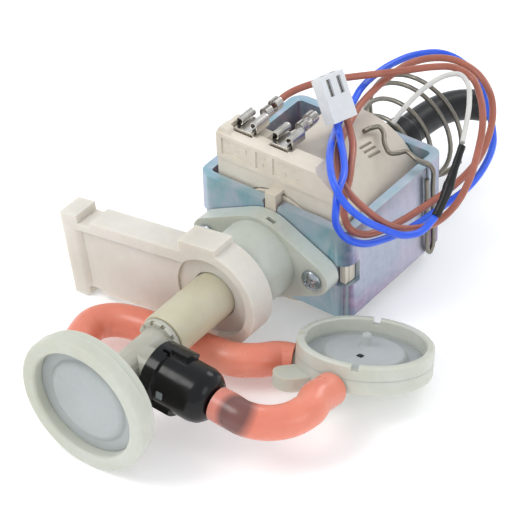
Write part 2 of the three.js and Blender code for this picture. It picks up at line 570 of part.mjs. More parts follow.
// Two-way housing, drawn with its wires leaving towards -Y, then leaned over the coil.
const plug = new THREE.Group();
plug.position.set(3.88, 27.08, 39.99);
plug.rotation.x = THREE.MathUtils.degToRad(15.1);
plug.rotation.y = THREE.MathUtils.degToRad(56.6);
plug.rotation.z = THREE.MathUtils.degToRad(66.4);
pump.add(plug);

const PLUG = { width: 8.9, length: 14.2, depth: 4.8, pitch: 3.96 };

function connectorHousing() {
  const { width, length, depth, pitch } = PLUG;
  const block = box(-width / 2, width / 2, -length / 2, length / 2, -depth / 2, depth / 2);
  const ways = [-0.5, 0.5].map((k) => {
    const x = k * pitch;
    const cavity = box(x - 1.4, x + 1.4, -length / 2 - 1, length / 2 + 1, -1.4, 1.4);
    const latch = box(x - 0.8, x + 0.8, 0.6, 5.9, 0, depth);
    return union(cavity, latch);
  });
  const shoulder = box(-width / 2 - 1, 0.5, length / 2 - 0.5, length / 2 + 1, -depth, -depth / 2 + 0.9);
  return cut(block, ...ways, shoulder);
}

addTo(plug, 'connector_housing', FINISH.connector, connectorHousing());
['a', 'b'].forEach((way, i) => {
  const x = (i - 0.5) * PLUG.pitch;
  const sleeve = cut(box(x - 1.2, x + 1.2, -4.4, 6.4, -1.2, 1.2), box(x - 0.9, x + 0.9, -5, 7, -0.9, 0.9));
  addTo(plug, `connector_contact_${way}`, FINISH.tinPlate, sleeve);
});

const BLUE_ROUTE = [[6.26, 24.11, 35.43], [7.62, 23.6, 33.15], [9.3, 22.2, 31.4], [12.3, 18.7, 31.5],
  [16.5, 14, 31.5], [22, 6.5, 32], [25.5, -1.5, 31.5],
  [27, -4.5, 28.5], [27, -4.5, 23], [28.5, -2, 17], [31, 3.5, 12.5], [32.5, 12, 9.5], [34.5, 20, 8.5],
  [36, 28.5, 8.5], [37.5, 38.5, 9], [38.5, 47.5, 9.5], [37.5, 57.5, 10.5], [34.5, 67, 12], [31, 72, 14],
  [26, 77, 17], [19.5, 82.5, 20], [14, 84.5, 22.5], [8, 85, 24], [3.5, 83, 25], [-1, 76.5, 26],
  [-3, 67.5, 27], [-3, 58, 28], [-1.5, 48.5, 29], [0.5, 41, 28.5], [1, 34.5, 27], [4, 27, 27.1],
  [10.5, 16, 31.5], [18.5, 4.5, 35], [25.5, -3, 35], [30, -4, 31], [34, -1, 25.5], [37, 4.5, 20],
  [40, 10, 15.5], [42, 16.5, 13.5], [42, 24, 14]];
const BROWN_ROUTE = [[7.13, 27.95, 35.09], [8.5, 27.45, 32.82], [10.2, 26.3, 31], [13.5, 23, 29.5],
  [18.5, 15, 28.5], [21.5, 9.5, 27], [23.5, 4.5, 25.5],
  [25.5, 1.5, 22.5], [27.5, 1, 18.5], [29.5, 5.5, 14], [31, 13, 11.5], [32.5, 22, 10.5], [34, 31.5, 10.5],
  [35.5, 40.5, 11], [36.5, 49.5, 12.5], [36.5, 55.5, 14], [34.5, 64, 16], [31, 72, 19.5], [26.5, 77, 22.5],
  [19.5, 80.5, 25], [12, 80, 27], [6.5, 76, 28], [2.5, 68.5, 28.5], [1.5, 59, 28.5], [1.5, 50, 28],
  [2, 43.5, 27.5], [3, 38.5, 27], [5.5, 31, 26.9], [9.5, 22, 28.5], [15, 13, 29.5], [21.5, 6, 29.5],
  [28, 2.5, 28.5], [33.5, 3.5, 24.5], [36.5, 9, 18], [38.5, 17.5, 12.5], [41, 26, 10.5], [42.5, 34, 12.5],
  [41, 43.5, 15], [38, 52.5, 18], [34, 61.5, 22.5], [29, 68, 26], [22.5, 73, 28.5], [16.5, 72, 30.5],
  [12, 67.5, 31.5], [6.5, 61.5, 31.5], [1, 54.5, 32], [-5, 46, 33], [-9.5, 39.5, 33.5], [-13, 33, 33.3],
  [-14.3, 28.5, 33.1], [-14.4, 24, 33.05]];
const WHITE_ROUTE = [[11.6, 46.4, 22.6], [12, 49.5, 24.4], [12.4, 56, 26.5], [14.3, 62.6, 29], [17.4, 66.5, 31],
  [21, 68, 32], [25.9, 65.3, 32], [31.2, 58.1, 31], [36.2, 48.6, 29.8], [38.8, 43, 28.6]];

add('blue_wire', FINISH.blueWire, tube(BLUE_ROUTE, WIRE_RADIUS, 8, 58));
add('brown_wire', FINISH.brownWire, tube(BROWN_ROUTE, WIRE_RADIUS, 8, 72));
add('white_lead', FINISH.whiteWire, tube(WHITE_ROUTE, LEAD_RADIUS, 8, 16));
const SPLICE_ROUTE = [[42.1, 24.6, 14.4], [41.8, 29.5, 18.4], [40.8, 35, 22.8], [39.2, 42.2, 28]];
add('splice_sleeve', FINISH.black, tube(SPLICE_ROUTE, 1.7, 10, 8));

// ---------------------------------------------------------------- placing

pump.position.set(-FOOTPRINT_CENTRE.x, -FOOTPRINT_CENTRE.y, AXIS_HEIGHT);
pump.updateMatrixWorld(true);

export default pump;
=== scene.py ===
# Looks of the solenoid vibration pump: mouldings, hoses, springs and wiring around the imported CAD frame.
import json
import math

import bmesh
import bpy
from mathutils import Matrix, Vector


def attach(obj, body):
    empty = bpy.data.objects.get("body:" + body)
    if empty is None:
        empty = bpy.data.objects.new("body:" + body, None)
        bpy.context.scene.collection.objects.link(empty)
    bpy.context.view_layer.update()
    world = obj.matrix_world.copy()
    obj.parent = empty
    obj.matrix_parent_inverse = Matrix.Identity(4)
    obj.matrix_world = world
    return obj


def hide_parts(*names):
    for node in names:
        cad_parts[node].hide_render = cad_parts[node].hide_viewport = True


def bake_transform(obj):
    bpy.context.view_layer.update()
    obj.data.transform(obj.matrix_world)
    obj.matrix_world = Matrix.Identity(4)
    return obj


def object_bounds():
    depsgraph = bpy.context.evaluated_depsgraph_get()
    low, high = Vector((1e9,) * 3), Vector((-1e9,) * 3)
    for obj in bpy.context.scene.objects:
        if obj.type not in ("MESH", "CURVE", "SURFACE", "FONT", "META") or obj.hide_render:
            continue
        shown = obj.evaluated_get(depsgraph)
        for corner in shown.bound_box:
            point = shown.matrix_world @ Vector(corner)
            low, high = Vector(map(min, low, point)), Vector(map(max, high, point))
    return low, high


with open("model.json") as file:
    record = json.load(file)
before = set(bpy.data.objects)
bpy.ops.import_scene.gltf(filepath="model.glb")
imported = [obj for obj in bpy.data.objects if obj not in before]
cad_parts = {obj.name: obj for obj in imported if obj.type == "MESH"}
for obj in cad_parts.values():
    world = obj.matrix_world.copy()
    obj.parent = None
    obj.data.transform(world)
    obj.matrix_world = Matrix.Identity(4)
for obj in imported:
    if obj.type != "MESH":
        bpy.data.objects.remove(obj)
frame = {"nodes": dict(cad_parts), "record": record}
cad_low, cad_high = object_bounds()
nodes = frame["nodes"]

MM = 0.001
# The pump's own origin (on the pump axis, at the yoke's front face), in the frame of the whole part, in mm.
ORIGIN = Vector((-3.98, -8.35, 21.5))
BODY = "housing"


def at(point):
    """A point in the pump's own millimetres, in metres in the row frame."""
    return (Vector(point) + ORIGIN) * MM


# ---------------------------------------------------------------- camera, light and floor

LENS_MM = 186.55
SENSOR_MM = 36.0
CAMERA_PLACE = (380.61, -495.17, 483.20)
CAMERA_RIGHT = (0.79977, 0.59979, -0.02485)
CAMERA_UP = (-0.35322, 0.50366, 0.78839)
CAMERA_BACK = (0.48538, -0.62176, 0.61467)
FLOOR_SIZE = 6
FLOOR_GAP = 0.00002


def add_camera():
    """The view from the front right and above, down the outlet."""
    data = bpy.data.cameras.new("camera")
    data.lens = LENS_MM
    data.sensor_width = SENSOR_MM
    data.clip_start = 0.05
    data.clip_end = 20
    camera = bpy.data.objects.new("camera", data)
    bpy.context.scene.collection.objects.link(camera)
    turn = Matrix((CAMERA_RIGHT, CAMERA_UP, CAMERA_BACK)).transposed().to_4x4()
    camera.matrix_world = Matrix.Translation(at(CAMERA_PLACE)) @ turn
    bpy.context.scene.camera = camera


def add_light(name, place, target, size, watts, colour=(1, 1, 1)):
    """A soft round lamp in metres, turned towards a target."""
    data = bpy.data.lights.new(name, "AREA")
    data.shape = "DISK"
    data.size = size
    data.energy = watts
    data.color = colour
    lamp = bpy.data.objects.new(name, data)
    bpy.context.scene.collection.objects.link(lamp)
    lamp.location = place
    lamp.rotation_euler = (Vector(target) - Vector(place)).to_track_quat("-Z", "Y").to_euler()


def add_studio():
    """Pale surroundings with a large key lamp, a weak one from the side and one from behind."""
    world = bpy.data.worlds.new("studio")
    world.use_nodes = True
    background = world.node_tree.nodes["Background"]
    background.inputs["Color"].default_value = (0.93, 0.96, 1.0, 1)
    background.inputs["Strength"].default_value = 0.92
    bpy.context.scene.world = world
    add_light("key", (-0.35, -0.45, 0.75), (0, 0, 0.02), 0.42, 2.6, (1.0, 0.985, 0.96))
    add_light("side", (0.75, -0.1, 0.35), (0, 0, 0.02), 0.4, 0.7, (0.94, 0.97, 1.0))
    add_light("rear", (0.05, 0.8, 0.55), (0, 0.02, 0.03), 0.4, 1.4)
    bpy.context.scene.view_settings.view_transform = "Standard"


def add_floor():
    """A plain white floor just under the lowest point."""
    bpy.ops.mesh.primitive_plane_add(size=FLOOR_SIZE, location=(0, 0, cad_low.z - FLOOR_GAP))
    floor = bpy.context.object
    floor.name = "floor"
    paint = bpy.data.materials.new("floor_paint")
    paint.use_nodes = True
    shader = paint.node_tree.nodes["Principled BSDF"]
    shader.inputs["Base Color"].default_value = (0.93, 0.93, 0.93, 1)
    shader.inputs["Emission Color"].default_value = (1, 1, 1, 1)
    shader.inputs["Emission Strength"].default_value = 0.2
    shader.inputs["Roughness"].default_value = 0.85
    shader.inputs["Specular IOR Level"].default_value = 0.1
    floor.data.materials.append(paint)


add_camera()
add_studio()
add_floor()

# ---------------------------------------------------------------- materials


def linear(colour):
    """An sRGB colour in 0..255 as linear light."""
    def channel(c):
        c = c / 255
        return c / 12.92 if c <= 0.04045 else ((c + 0.055) / 1.055) ** 2.4
    return tuple(channel(c) for c in colour) + (1.0,)


class Nodes:
    """Small helper that adds and links shader nodes."""

    def __init__(self, name):
        self.material = bpy.data.materials.new(name)
        self.material.use_nodes = True
        self.tree = self.material.node_tree
        self.shader = self.tree.nodes["Principled BSDF"]
        self.place = self.add("ShaderNodeTexCoord").outputs["Object"]

    def add(self, kind, **settings):
        """A new node with its settings."""
        node = self.tree.nodes.new(kind)
        for key, value in settings.items():
            setattr(node, key, value)
        return node

    def link(self, source, target):
        self.tree.links.new(source, target)

    def noise(self, scale, detail=2.0, rough=0.5, stretch=None):
        """Noise from 0 to 1 over the piece, drawn out along an axis by stretch."""
        node = self.add("ShaderNodeTexNoise")
        node.inputs["Scale"].default_value = scale
        node.inputs["Detail"].default_value = detail
        node.inputs["Roughness"].default_value = rough
        place = self.place
        if stretch:
            mapping = self.add("ShaderNodeMapping")
            mapping.inputs["Scale"].default_value = stretch
            self.link(place, mapping.inputs["Vector"])
            place = mapping.outputs["Vector"]
        self.link(place, node.inputs["Vector"])
        return node.outputs["Fac"]

    def ramp(self, factor, stops):
        """A colour from (place, sRGB) stops."""
        node = self.add("ShaderNodeValToRGB")
        ramp = node.color_ramp
        while len(ramp.elements) < len(stops):
            ramp.elements.new(0.5)
        for element, (position, colour) in zip(ramp.elements, stops):
            element.position = position
            element.color = linear(colour)
        self.link(factor, node.inputs["Fac"])
        return node.outputs["Color"]

    def mix(self, factor, a, b, blend="MIX"):
        """Two colours mixed; each input is a socket or a value."""
        node = self.add("ShaderNodeMix", data_type="RGBA", blend_type=blend)
        for socket, value in ((node.inputs[0], factor), (node.inputs[6], a), (node.inputs[7], b)):
            if isinstance(value, bpy.types.NodeSocket):
                self.link(value, socket)
            else:
                socket.default_value = value
        return node.outputs[2]

    def spread(self, factor, low, high, from_low=0.3, from_high=0.7):
        """A factor's range stretched to another range."""
        node = self.add("ShaderNodeMapRange")
        node.inputs["From Min"].default_value = from_low
        node.inputs["From Max"].default_value = from_high
        node.inputs["To Min"].default_value = low
        node.inputs["To Max"].default_value = high
        self.link(factor, node.inputs["Value"])
        return node.outputs["Result"]

    def near(self, point, full, gone):
        """1 within a distance in mm of a point of the pump, falling to 0 at a longer one."""
        mapping = self.add("ShaderNodeMapping", vector_type="POINT")
        mapping.inputs["Location"].default_value = -at(point)
        self.link(self.place, mapping.inputs["Vector"])
        length = self.add("ShaderNodeVectorMath", operation="LENGTH")
        self.link(mapping.outputs["Vector"], length.inputs[0])
        return self.spread(length.outputs["Value"], 1.0, 0.0, full * MM, gone * MM)

    def bump(self, *layers):
        """Bump from (height socket, strength, distance in mm) layers, the coarsest first."""
        normal = None
        for height, strength, distance in layers:
            node = self.add("ShaderNodeBump")
            node.inputs["Strength"].default_value = strength
            node.inputs["Distance"].default_value = distance * MM
            self.link(height, node.inputs["Height"])
            if normal:
                self.link(normal, node.inputs["Normal"])
            normal = node.outputs["Normal"]
        self.link(normal, self.shader.inputs["Normal"])

    def set(self, **values):
        """Sets the shader's own sockets, with _ for a space in their names."""
        for key, value in values.items():
            self.shader.inputs[key.replace("_", " ")].default_value = value


def moulding(name, stops, roughness, cloud, grain, grain_depth, sink_depth, translucent=0.0, depth_mm=1.0,
             coat=0.0, specular=0.5, painted_shades=(), sheen=0.0):
    """Moulded plastic or rubber: cloudy colour, faint sink marks, a fine grain and uneven gloss."""
    n = Nodes(name)
    colour = n.ramp(n.noise(cloud, 3, 0.55), stops)
    speck = n.spread(n.noise(cloud * 14, 2, 0.6), 0.972, 1.012)
    gray = n.add("ShaderNodeCombineColor")
    for channel in ("Red", "Green", "Blue"):
        n.link(speck, gray.inputs[channel])
    colour = n.mix(1.0, colour, gray.outputs["Color"], "MULTIPLY")
    # Painted shade: near each point the colour is pulled towards its tint, standing in for the dark of the
    # parts seen through the wall.
    for point, full, gone, tint, strength in painted_shades:
        weight = n.spread(n.near(point, full, gone), 0.0, strength, 0.0, 1.0)
        colour = n.mix(weight, colour, linear(tint))
    n.link(colour, n.shader.inputs["Base Color"])
    gloss = n.spread(n.noise(cloud * 5, 3, 0.6), roughness - 0.06, roughness + 0.08)
    n.link(gloss, n.shader.inputs["Roughness"])
    n.bump((n.noise(cloud * 3.5, 2), 0.35, sink_depth), (n.noise(grain, 2, 0.6), 0.3, grain_depth))
    n.set(Specular_IOR_Level=specular, Coat_Weight=coat, Coat_Roughness=0.12, Sheen_Weight=sheen)
    if translucent:
        n.set(Subsurface_Weight=translucent, Subsurface_Scale=depth_mm * MM)
        n.shader.inputs["Subsurface Radius"].default_value = (1.0, 0.8, 0.6)
    return n.material


def metal(name, stops, roughness, cloud, brush_scale, brush=(1, 1, 1), brush_depth=0.02, edge=None):
    """Drawn, turned or plated metal: cloudy tint, brushed lines and uneven gloss."""
    n = Nodes(name)
    colour = n.ramp(n.noise(cloud, 3, 0.6), stops)
    # Painted highlight: sharp convex edges lightened towards the edge colour.
    if edge:
        pointed = n.add("ShaderNodeNewGeometry").outputs["Pointiness"]
        colour = n.mix(n.spread(pointed, 0.0, 0.6, 0.52, 0.62), colour, linear(edge))
    n.link(colour, n.shader.inputs["Base Color"])
    lines = n.noise(brush_scale, 3, 0.65, brush)
    gloss = n.spread(lines, roughness - 0.08, roughness + 0.1)
    n.link(gloss, n.shader.inputs["Roughness"])
    n.bump((n.noise(cloud * 4, 2), 0.25, 0.05), (lines, 0.35, brush_depth))
    n.set(Metallic=1.0)
    return n.material


def passivated_zinc():
    """Zinc plate with a cloudy blue chromate tint; the split by face direction, teal on faces along Y and a
    darker lilac on faces across X, is a painted sheen for the film's colour shift with the angle of light.
    """
    n = Nodes("zinc_plate")
    broad = n.noise(52, 3, 0.5)
    teal = n.ramp(broad, [(0.38, (124, 178, 190)), (0.46, (156, 194, 206)), (0.54, (184, 200, 218)),
                          (0.64, (130, 186, 200))])
    lilac = n.ramp(broad, [(0.38, (98, 108, 140)), (0.46, (118, 108, 146)), (0.54, (152, 116, 152)),
                           (0.64, (110, 118, 146))])
    # Painted sheen: faces across X take the darker lilac ramp, faces along Y the teal one.
    split = n.add("ShaderNodeSeparateXYZ")
    n.link(n.add("ShaderNodeTexCoord").outputs["Normal"], split.inputs["Vector"])
    side = n.add("ShaderNodeMath", operation="ABSOLUTE")
    n.link(split.outputs["X"], side.inputs[0])
    colour = n.mix(n.spread(side.outputs["Value"], 0.0, 1.0, 0.25, 0.85), teal, lilac)
    fine = n.noise(420, 3, 0.6)
    colour = n.mix(n.spread(fine, 0.0, 0.28), colour, linear((206, 200, 214)))
    # Painted highlight: sharp convex edges lightened towards pale blue-grey.
    pointed = n.add("ShaderNodeNewGeometry").outputs["Pointiness"]
    colour = n.mix(n.spread(pointed, 0.0, 0.55, 0.52, 0.64), colour, linear((206, 214, 222)))
    n.link(colour, n.shader.inputs["Base Color"])
    rolled = n.noise(700, 3, 0.65, (1, 1, 0.12))
    n.link(n.spread(rolled, 0.34, 0.52), n.shader.inputs["Roughness"])
    n.bump((n.noise(160, 2), 0.3, 0.06), (rolled, 0.3, 0.015))
    n.set(Metallic=0.85, Specular_IOR_Level=0.6)
    return n.material


# Painted shade on the hose where the cap's nose, then its barb, show dark through its wall. Each is (point,
# full out to mm, gone at mm, tint, strength).
HOSE_PAINTED_SHADE = [((31, -63.7, -2.45), 5.6, 7.2, (176, 108, 100), 0.5),
               ((36.4, -64.6, -1.9), 5.0, 6.8, (78, 56, 56), 0.85)]

# Colours are (place on the cloud noise, sRGB); scales are per metre; depths are in mm.
MOULDINGS = {
    "coil_plastic": dict(
        stops=[(0.35, (205, 196, 180)), (0.65, (222, 213, 198))], roughness=0.5, cloud=40, grain=1500,
        grain_depth=0.035, sink_depth=0.1, translucent=0.12, depth_mm=1.2),
    "head_plastic": dict(
        stops=[(0.32, (184, 188, 176)), (0.5, (194, 199, 189)), (0.68, (203, 206, 198))], roughness=0.34,
        cloud=38, grain=1200, grain_depth=0.02, sink_depth=0.14, translucent=0.35, depth_mm=3.5, coat=0.15),
    "tee_plastic": dict(
        stops=[(0.32, (166, 164, 150)), (0.5, (178, 176, 163)), (0.68, (188, 187, 176))], roughness=0.36,
        cloud=38, grain=1200, grain_depth=0.02, sink_depth=0.14, translucent=0.35, depth_mm=3.5, coat=0.1),
    "outlet_plastic": dict(
        stops=[(0.32, (184, 178, 150)), (0.5, (197, 191, 166)), (0.68, (208, 204, 184))], roughness=0.33,
        cloud=30, grain=1100, grain_depth=0.02, sink_depth=0.16, translucent=0.4, depth_mm=4, coat=0.1),
    "silicone": dict(
        stops=[(0.34, (204, 198, 186)), (0.52, (212, 207, 197)), (0.68, (218, 214, 206))], roughness=0.48,
        cloud=26, grain=1000, grain_depth=0.025, sink_depth=0.2, translucent=0.45, depth_mm=4,
        specular=0.45, sheen=0.1),
    "damper_plastic": dict(
        stops=[(0.34, (186, 187, 170)), (0.52, (193, 195, 182)), (0.68, (200, 202, 193))], roughness=0.42,
        cloud=34, grain=1300, grain_depth=0.025, sink_depth=0.12, translucent=0.35, depth_mm=3),
    "membrane": dict(
        stops=[(0.34, (160, 165, 163)), (0.66, (174, 178, 177))], roughness=0.42, cloud=34, grain=1200,
        grain_depth=0.02, sink_depth=0.2, translucent=0.3, depth_mm=2.5),
    "hose": dict(
        stops=[(0.32, (220, 122, 98)), (0.52, (229, 135, 111)), (0.68, (233, 150, 127))], roughness=0.32,
        cloud=38, grain=900, grain_depth=0.02, sink_depth=0.16, translucent=0.3, depth_mm=3, coat=0.15,
        painted_shades=HOSE_PAINTED_SHADE),
    "black_plastic": dict(
        stops=[(0.3, (10, 10, 11)), (0.7, (17, 16, 17))], roughness=0.2, cloud=60, grain=900,
        grain_depth=0.015, sink_depth=0.1, specular=0.28),
    "catch_plastic": dict(
        stops=[(0.3, (104, 110, 112)), (0.7, (126, 132, 134))], roughness=0.4, cloud=90, grain=1400,
        grain_depth=0.02, sink_depth=0.05),
    "black_rubber": dict(
        stops=[(0.3, (13, 13, 13)), (0.7, (22, 21, 21))], roughness=0.36, cloud=60, grain=1500,
        grain_depth=0.03, sink_depth=0.1, specular=0.35),
    "connector_plastic": dict(
        stops=[(0.35, (212, 214, 216)), (0.65, (220, 222, 224))], roughness=0.4, cloud=60, grain=1500,
        grain_depth=0.02, sink_depth=0.08, translucent=0.15, depth_mm=1),
    "blue_insulation": dict(
        stops=[(0.3, (26, 80, 218)), (0.7, (44, 100, 232))], roughness=0.34, cloud=110, grain=1600,
        grain_depth=0.02, sink_depth=0.05, translucent=0.05, depth_mm=0.5, coat=0.1),
    "brown_insulation": dict(
        stops=[(0.3, (152, 84, 64)), (0.7, (172, 102, 82))], roughness=0.36, cloud=110, grain=1600,
        grain_depth=0.02, sink_depth=0.05, translucent=0.05, depth_mm=0.5, coat=0.1),
    "white_insulation": dict(
        stops=[(0.3, (196, 195, 190)), (0.7, (212, 211, 206))], roughness=0.36, cloud=110, grain=1600,
        grain_depth=0.02, sink_depth=0.05, translucent=0.1, depth_mm=0.5),
}

METALS = {
    "spring_steel": dict(
        stops=[(0.3, (120, 114, 102)), (0.7, (150, 145, 134))], roughness=0.34, cloud=90, brush_scale=1200),
    "screw_steel": dict(
        stops=[(0.3, (148, 154, 160)), (0.7, (178, 184, 188))], roughness=0.22, cloud=200, brush_scale=1600,
        brush_depth=0.01),
    "core_steel": dict(
        stops=[(0.3, (168, 168, 166)), (0.7, (196, 197, 198))], roughness=0.32, cloud=80,
        brush=(1, 0.05, 1), brush_scale=1500),
    # tin_plate's edge colour is a painted highlight on its sharp rolled edges.
    "tin_plate": dict(
        stops=[(0.3, (172, 168, 160)), (0.7, (214, 210, 204))], roughness=0.27, cloud=160,
        brush=(1, 0.1, 1), brush_scale=1100, brush_depth=0.015, edge=(232, 229, 224)),
    "copper": dict(
        stops=[(0.3, (150, 84, 48)), (0.7, (190, 112, 66))], roughness=0.35, cloud=90,
        brush=(1, 30, 1), brush_scale=60),
    "brass": dict(
        stops=[(0.3, (186, 150, 84)), (0.7, (212, 178, 108))], roughness=0.3, cloud=90,
        brush=(1, 0.05, 1), brush_scale=1500),
}

LOOKS = {"zinc_plate": passivated_zinc()}
for look, settings in MOULDINGS.items():
    LOOKS[look] = moulding(look, **settings)
for look, settings in METALS.items():
    LOOKS[look] = metal(look, **settings)

SLOT_OF_NODE = {part["node"]: part["material_slot"] for part in frame["record"]["subparts"]}
# A node whose tint is a little away from its slot's.
LOOK_OF_NODE = {"tee_piece": "tee_plastic"}

# ---------------------------------------------------------------- mesh helpers

SHARP_ANGLE = math.radians(38)


def smooth(mesh):
    """Shades a mesh smoothly up to its sharp corners."""
    for polygon in mesh.polygons:
        polygon.use_smooth = True
    mesh.set_sharp_from_angle(angle=SHARP_ANGLE)


def piece(name, mesh, slot, *replaced):
    """A finished piece that rides on the housing and may stand for CAD nodes."""
    smooth(mesh)
    obj = bpy.data.objects.new(name, mesh)
    bpy.context.scene.collection.objects.link(obj)
    dress(obj, slot, *replaced)
    return obj


def dress(obj, slot, *replaced):
    """Gives a piece the material of its slot, parents it to its body's empty and hides the CAD nodes that it
    stands for.
    """
    obj.data.materials.clear()
    obj.data.materials.append(LOOKS[slot])
    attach(obj, BODY)
    if replaced:
        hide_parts(*replaced)


def mesh_of(name, points, faces):
    """A mesh whose faces all point outwards."""
    mesh = bpy.data.meshes.new(name)
    mesh.from_pydata([tuple(p) for p in points], [], faces)
    mesh.validate()
    work = bmesh.new()
    work.from_mesh(mesh)
    bmesh.ops.recalc_face_normals(work, faces=work.faces)
    work.to_mesh(mesh)
    work.free()
    return mesh


def filleted(profile, closed, steps=5):
    """A profile of (radius, y) or (radius, y, fillet) points with its corners rounded."""
    count = len(profile)
    result = []
    for i, corner in enumerate(profile):
        here = Vector(corner[:2])
        fillet = corner[2] if len(corner) > 2 else 0
        if not fillet or (not closed and i in (0, count - 1)):
            result.append(here)
            continue
        before = Vector(profile[i - 1][:2])
        after = Vector(profile[(i + 1) % count][:2])
        reach = min(fillet, (before - here).length * 0.49, (after - here).length * 0.49)
        start = here + (before - here).normalized() * reach
        end = here + (after - here).normalized() * reach
        for k in range(steps + 1):
            t = k / steps
            result.append(start * (1 - t) ** 2 + here * 2 * t * (1 - t) + end * t ** 2)
    return result


def turned(name, profile, segments=96, place=None, closed=True):
    """A solid of revolution about the pump's Y axis, or about a placed one. Open profiles end on the axis."""
    outline = filleted(profile, closed)
    place = place or Matrix.Identity(4)
    points, rings = [], []
    for radius, y in outline:
        if radius < 1e-6:
            points.append(at(place @ Vector((0, y, 0))))
            rings.append([len(points) - 1])
            continue
        start = len(points)
        for k in range(segments):
            angle = 2 * math.pi * k / segments
            points.append(at(place @ Vector((radius * math.cos(angle), y, radius * math.sin(angle)))))
        rings.append(list(range(start, start + segments)))
    faces = []
    pairs = list(zip(rings, rings[1:])) + ([(rings[-1], rings[0])] if closed else [])
    for a, b in pairs:
        for k in range(segments):
            j = (k + 1) % segments
            loop = [a[k % len(a)], a[j % len(a)], b[j % len(b)], b[k % len(b)]]
            faces.append([p for i, p in enumerate(loop) if p not in loop[:i]])
    return mesh_of(name, points, [f for f in faces if len(f) > 2])


def smooth_path(route, per_span=8):
    """Centripetal Catmull-Rom points through a route, the same curve that the CAD solids follow."""
    route = [Vector(p) for p in route]
    ends = [route[0] * 2 - route[1], *route, route[-1] * 2 - route[-2]]
    result = []
    for i in range(1, len(ends) - 2):
        p = ends[i - 1:i + 3]
        gaps = [max((p[k + 1] - p[k]).length ** 0.5, 1e-5) for k in range(3)]
        t = [0, gaps[0], gaps[0] + gaps[1], sum(gaps)]
        for k in range(per_span):
            x = t[1] + (t[2] - t[1]) * k / per_span
            a = [p[j] * ((t[j + 1] - x) / (t[j + 1] - t[j])) + p[j + 1] * ((x - t[j]) / (t[j + 1] - t[j]))
                 for j in range(3)]
            b = [a[j] * ((t[j + 2] - x) / (t[j + 2] - t[j])) + a[j + 1] * ((x - t[j]) / (t[j + 2] - t[j]))
                 for j in range(2)]
            result.append(b[0] * ((t[2] - x) / (t[2] - t[1])) + b[1] * ((x - t[1]) / (t[2] - t[1])))
    result.append(route[-1])
    return result


def frames_along(line):
    """A right and an up direction at each point, carried along without twist."""
    right = None
    result = []
    for i, here in enumerate(line):
        along = (line[min(i + 1, len(line) - 1)] - line[max(i - 1, 0)]).normalized()
        if right is None:
            right = along.cross(Vector((0, 0, 1)))
            if right.length < 1e-3:
                right = along.cross(Vector((1, 0, 0)))
        right = (right - along * right.dot(along)).normalized()
        result.append((right, along.cross(right)))
    return result


# How far a cut end bulges, and how far its outer and inner edges are drawn in, in mm.
END_BULGE = 0.12
END_OUTER = 0.25
END_INNER = 0.2


def pipe(name, line, outer, bore=None, sides=28):
    """A tube along a line. outer and bore are radii in mm, or functions of the share of the way along."""
    outer_at = outer if callable(outer) else lambda t: outer
    bore_at = bore if callable(bore) else lambda t: bore
    frames = frames_along(line)
    last = len(line) - 1
    points = []

    def ring(i, radius, middle):
        right, up = frames[i]
        start = len(points)
        for k in range(sides):
            angle = 2 * math.pi * k / sides
            points.append(at(middle + right * radius * math.cos(angle) + up * radius * math.sin(angle)))
        return start

    def skin(radius_at, order):
        return [ring(i, radius_at(i / last), line[i]) for i in order]

    def lip(i, radius):
        """A ring just past an end, drawn in so that the cut edge is soft."""
        out = (line[0] - line[1] if i == 0 else line[-1] - line[-2]).normalized()
        return ring(i, radius, line[i] + out * END_BULGE)

    def band(a, b):
        return [[a + k, a + (k + 1) % sides, b + (k + 1) % sides, b + k] for k in range(sides)]

    rings = [lip(0, outer_at(0) - END_OUTER), *skin(outer_at, range(last + 1)),
             lip(last, outer_at(1) - END_OUTER)]
    caps = []
    if bore is None:
        caps = [list(range(start, start + sides)) for start in (rings[0], rings[-1])]
    else:
        rings += [lip(last, bore_at(1) + END_INNER), *skin(bore_at, range(last, -1, -1)),
                  lip(0, bore_at(0) + END_INNER), rings[0]]
    walls = [face for a, b in zip(rings, rings[1:]) for face in band(a, b)]
    return mesh_of(name, points, walls + caps)


def wire(name, line, radius, slot, *replaced, round_steps=5):
    """A round wire as a curve with closed ends."""
    curve = bpy.data.curves.new(name, "CURVE")
    curve.dimensions = "3D"
    curve.bevel_depth = radius * MM
    curve.bevel_resolution = round_steps
    curve.use_fill_caps = True
    spline = curve.splines.new("POLY")
    spline.points.add(len(line) - 1)
    for point, place in zip(spline.points, line):
        point.co = (*at(place), 1)
    spline.use_smooth = True
    obj = bpy.data.objects.new(name, curve)
    bpy.context.scene.collection.objects.link(obj)
    dress(obj, slot, *replaced)
    return obj


WELD_MM = 0.002
FLAT_ANGLE = math.radians(0.6)
EDGE_ANGLE = math.radians(34)
SPLIT_ANGLE = math.radians(48)


def soften(node, width_mm):
    """Rounds the moulded or punched edges of a CAD node and shades it smoothly, without touching its mesh."""
    obj = nodes[node]
    with bpy.context.temp_override(object=obj, active_object=obj, selected_objects=[obj]):
        bpy.ops.mesh.customdata_custom_splitnormals_clear()
    for polygon in obj.data.polygons:
        polygon.use_smooth = True
    weld = obj.modifiers.new("weld", "WELD")
    weld.merge_threshold = WELD_MM * MM
    flat = obj.modifiers.new("flat", "DECIMATE")
    flat.decimate_type = "DISSOLVE"
    flat.angle_limit = FLAT_ANGLE
    bevel = obj.modifiers.new("edges", "BEVEL")
    bevel.width = width_mm * MM
    bevel.segments = 3
    bevel.limit_method = "ANGLE"
    bevel.angle_limit = EDGE_ANGLE
    split = obj.modifiers.new("split", "EDGE_SPLIT")
    split.split_angle = SPLIT_ANGLE
    obj.modifiers.new("shading", "WEIGHTED_NORMAL")


# ---------------------------------------------------------------- CAD nodes that keep their shape

for node, obj in nodes.items():
    obj.data.materials.clear()
    obj.data.materials.append(LOOKS[LOOK_OF_NODE.get(node, SLOT_OF_NODE[node])])

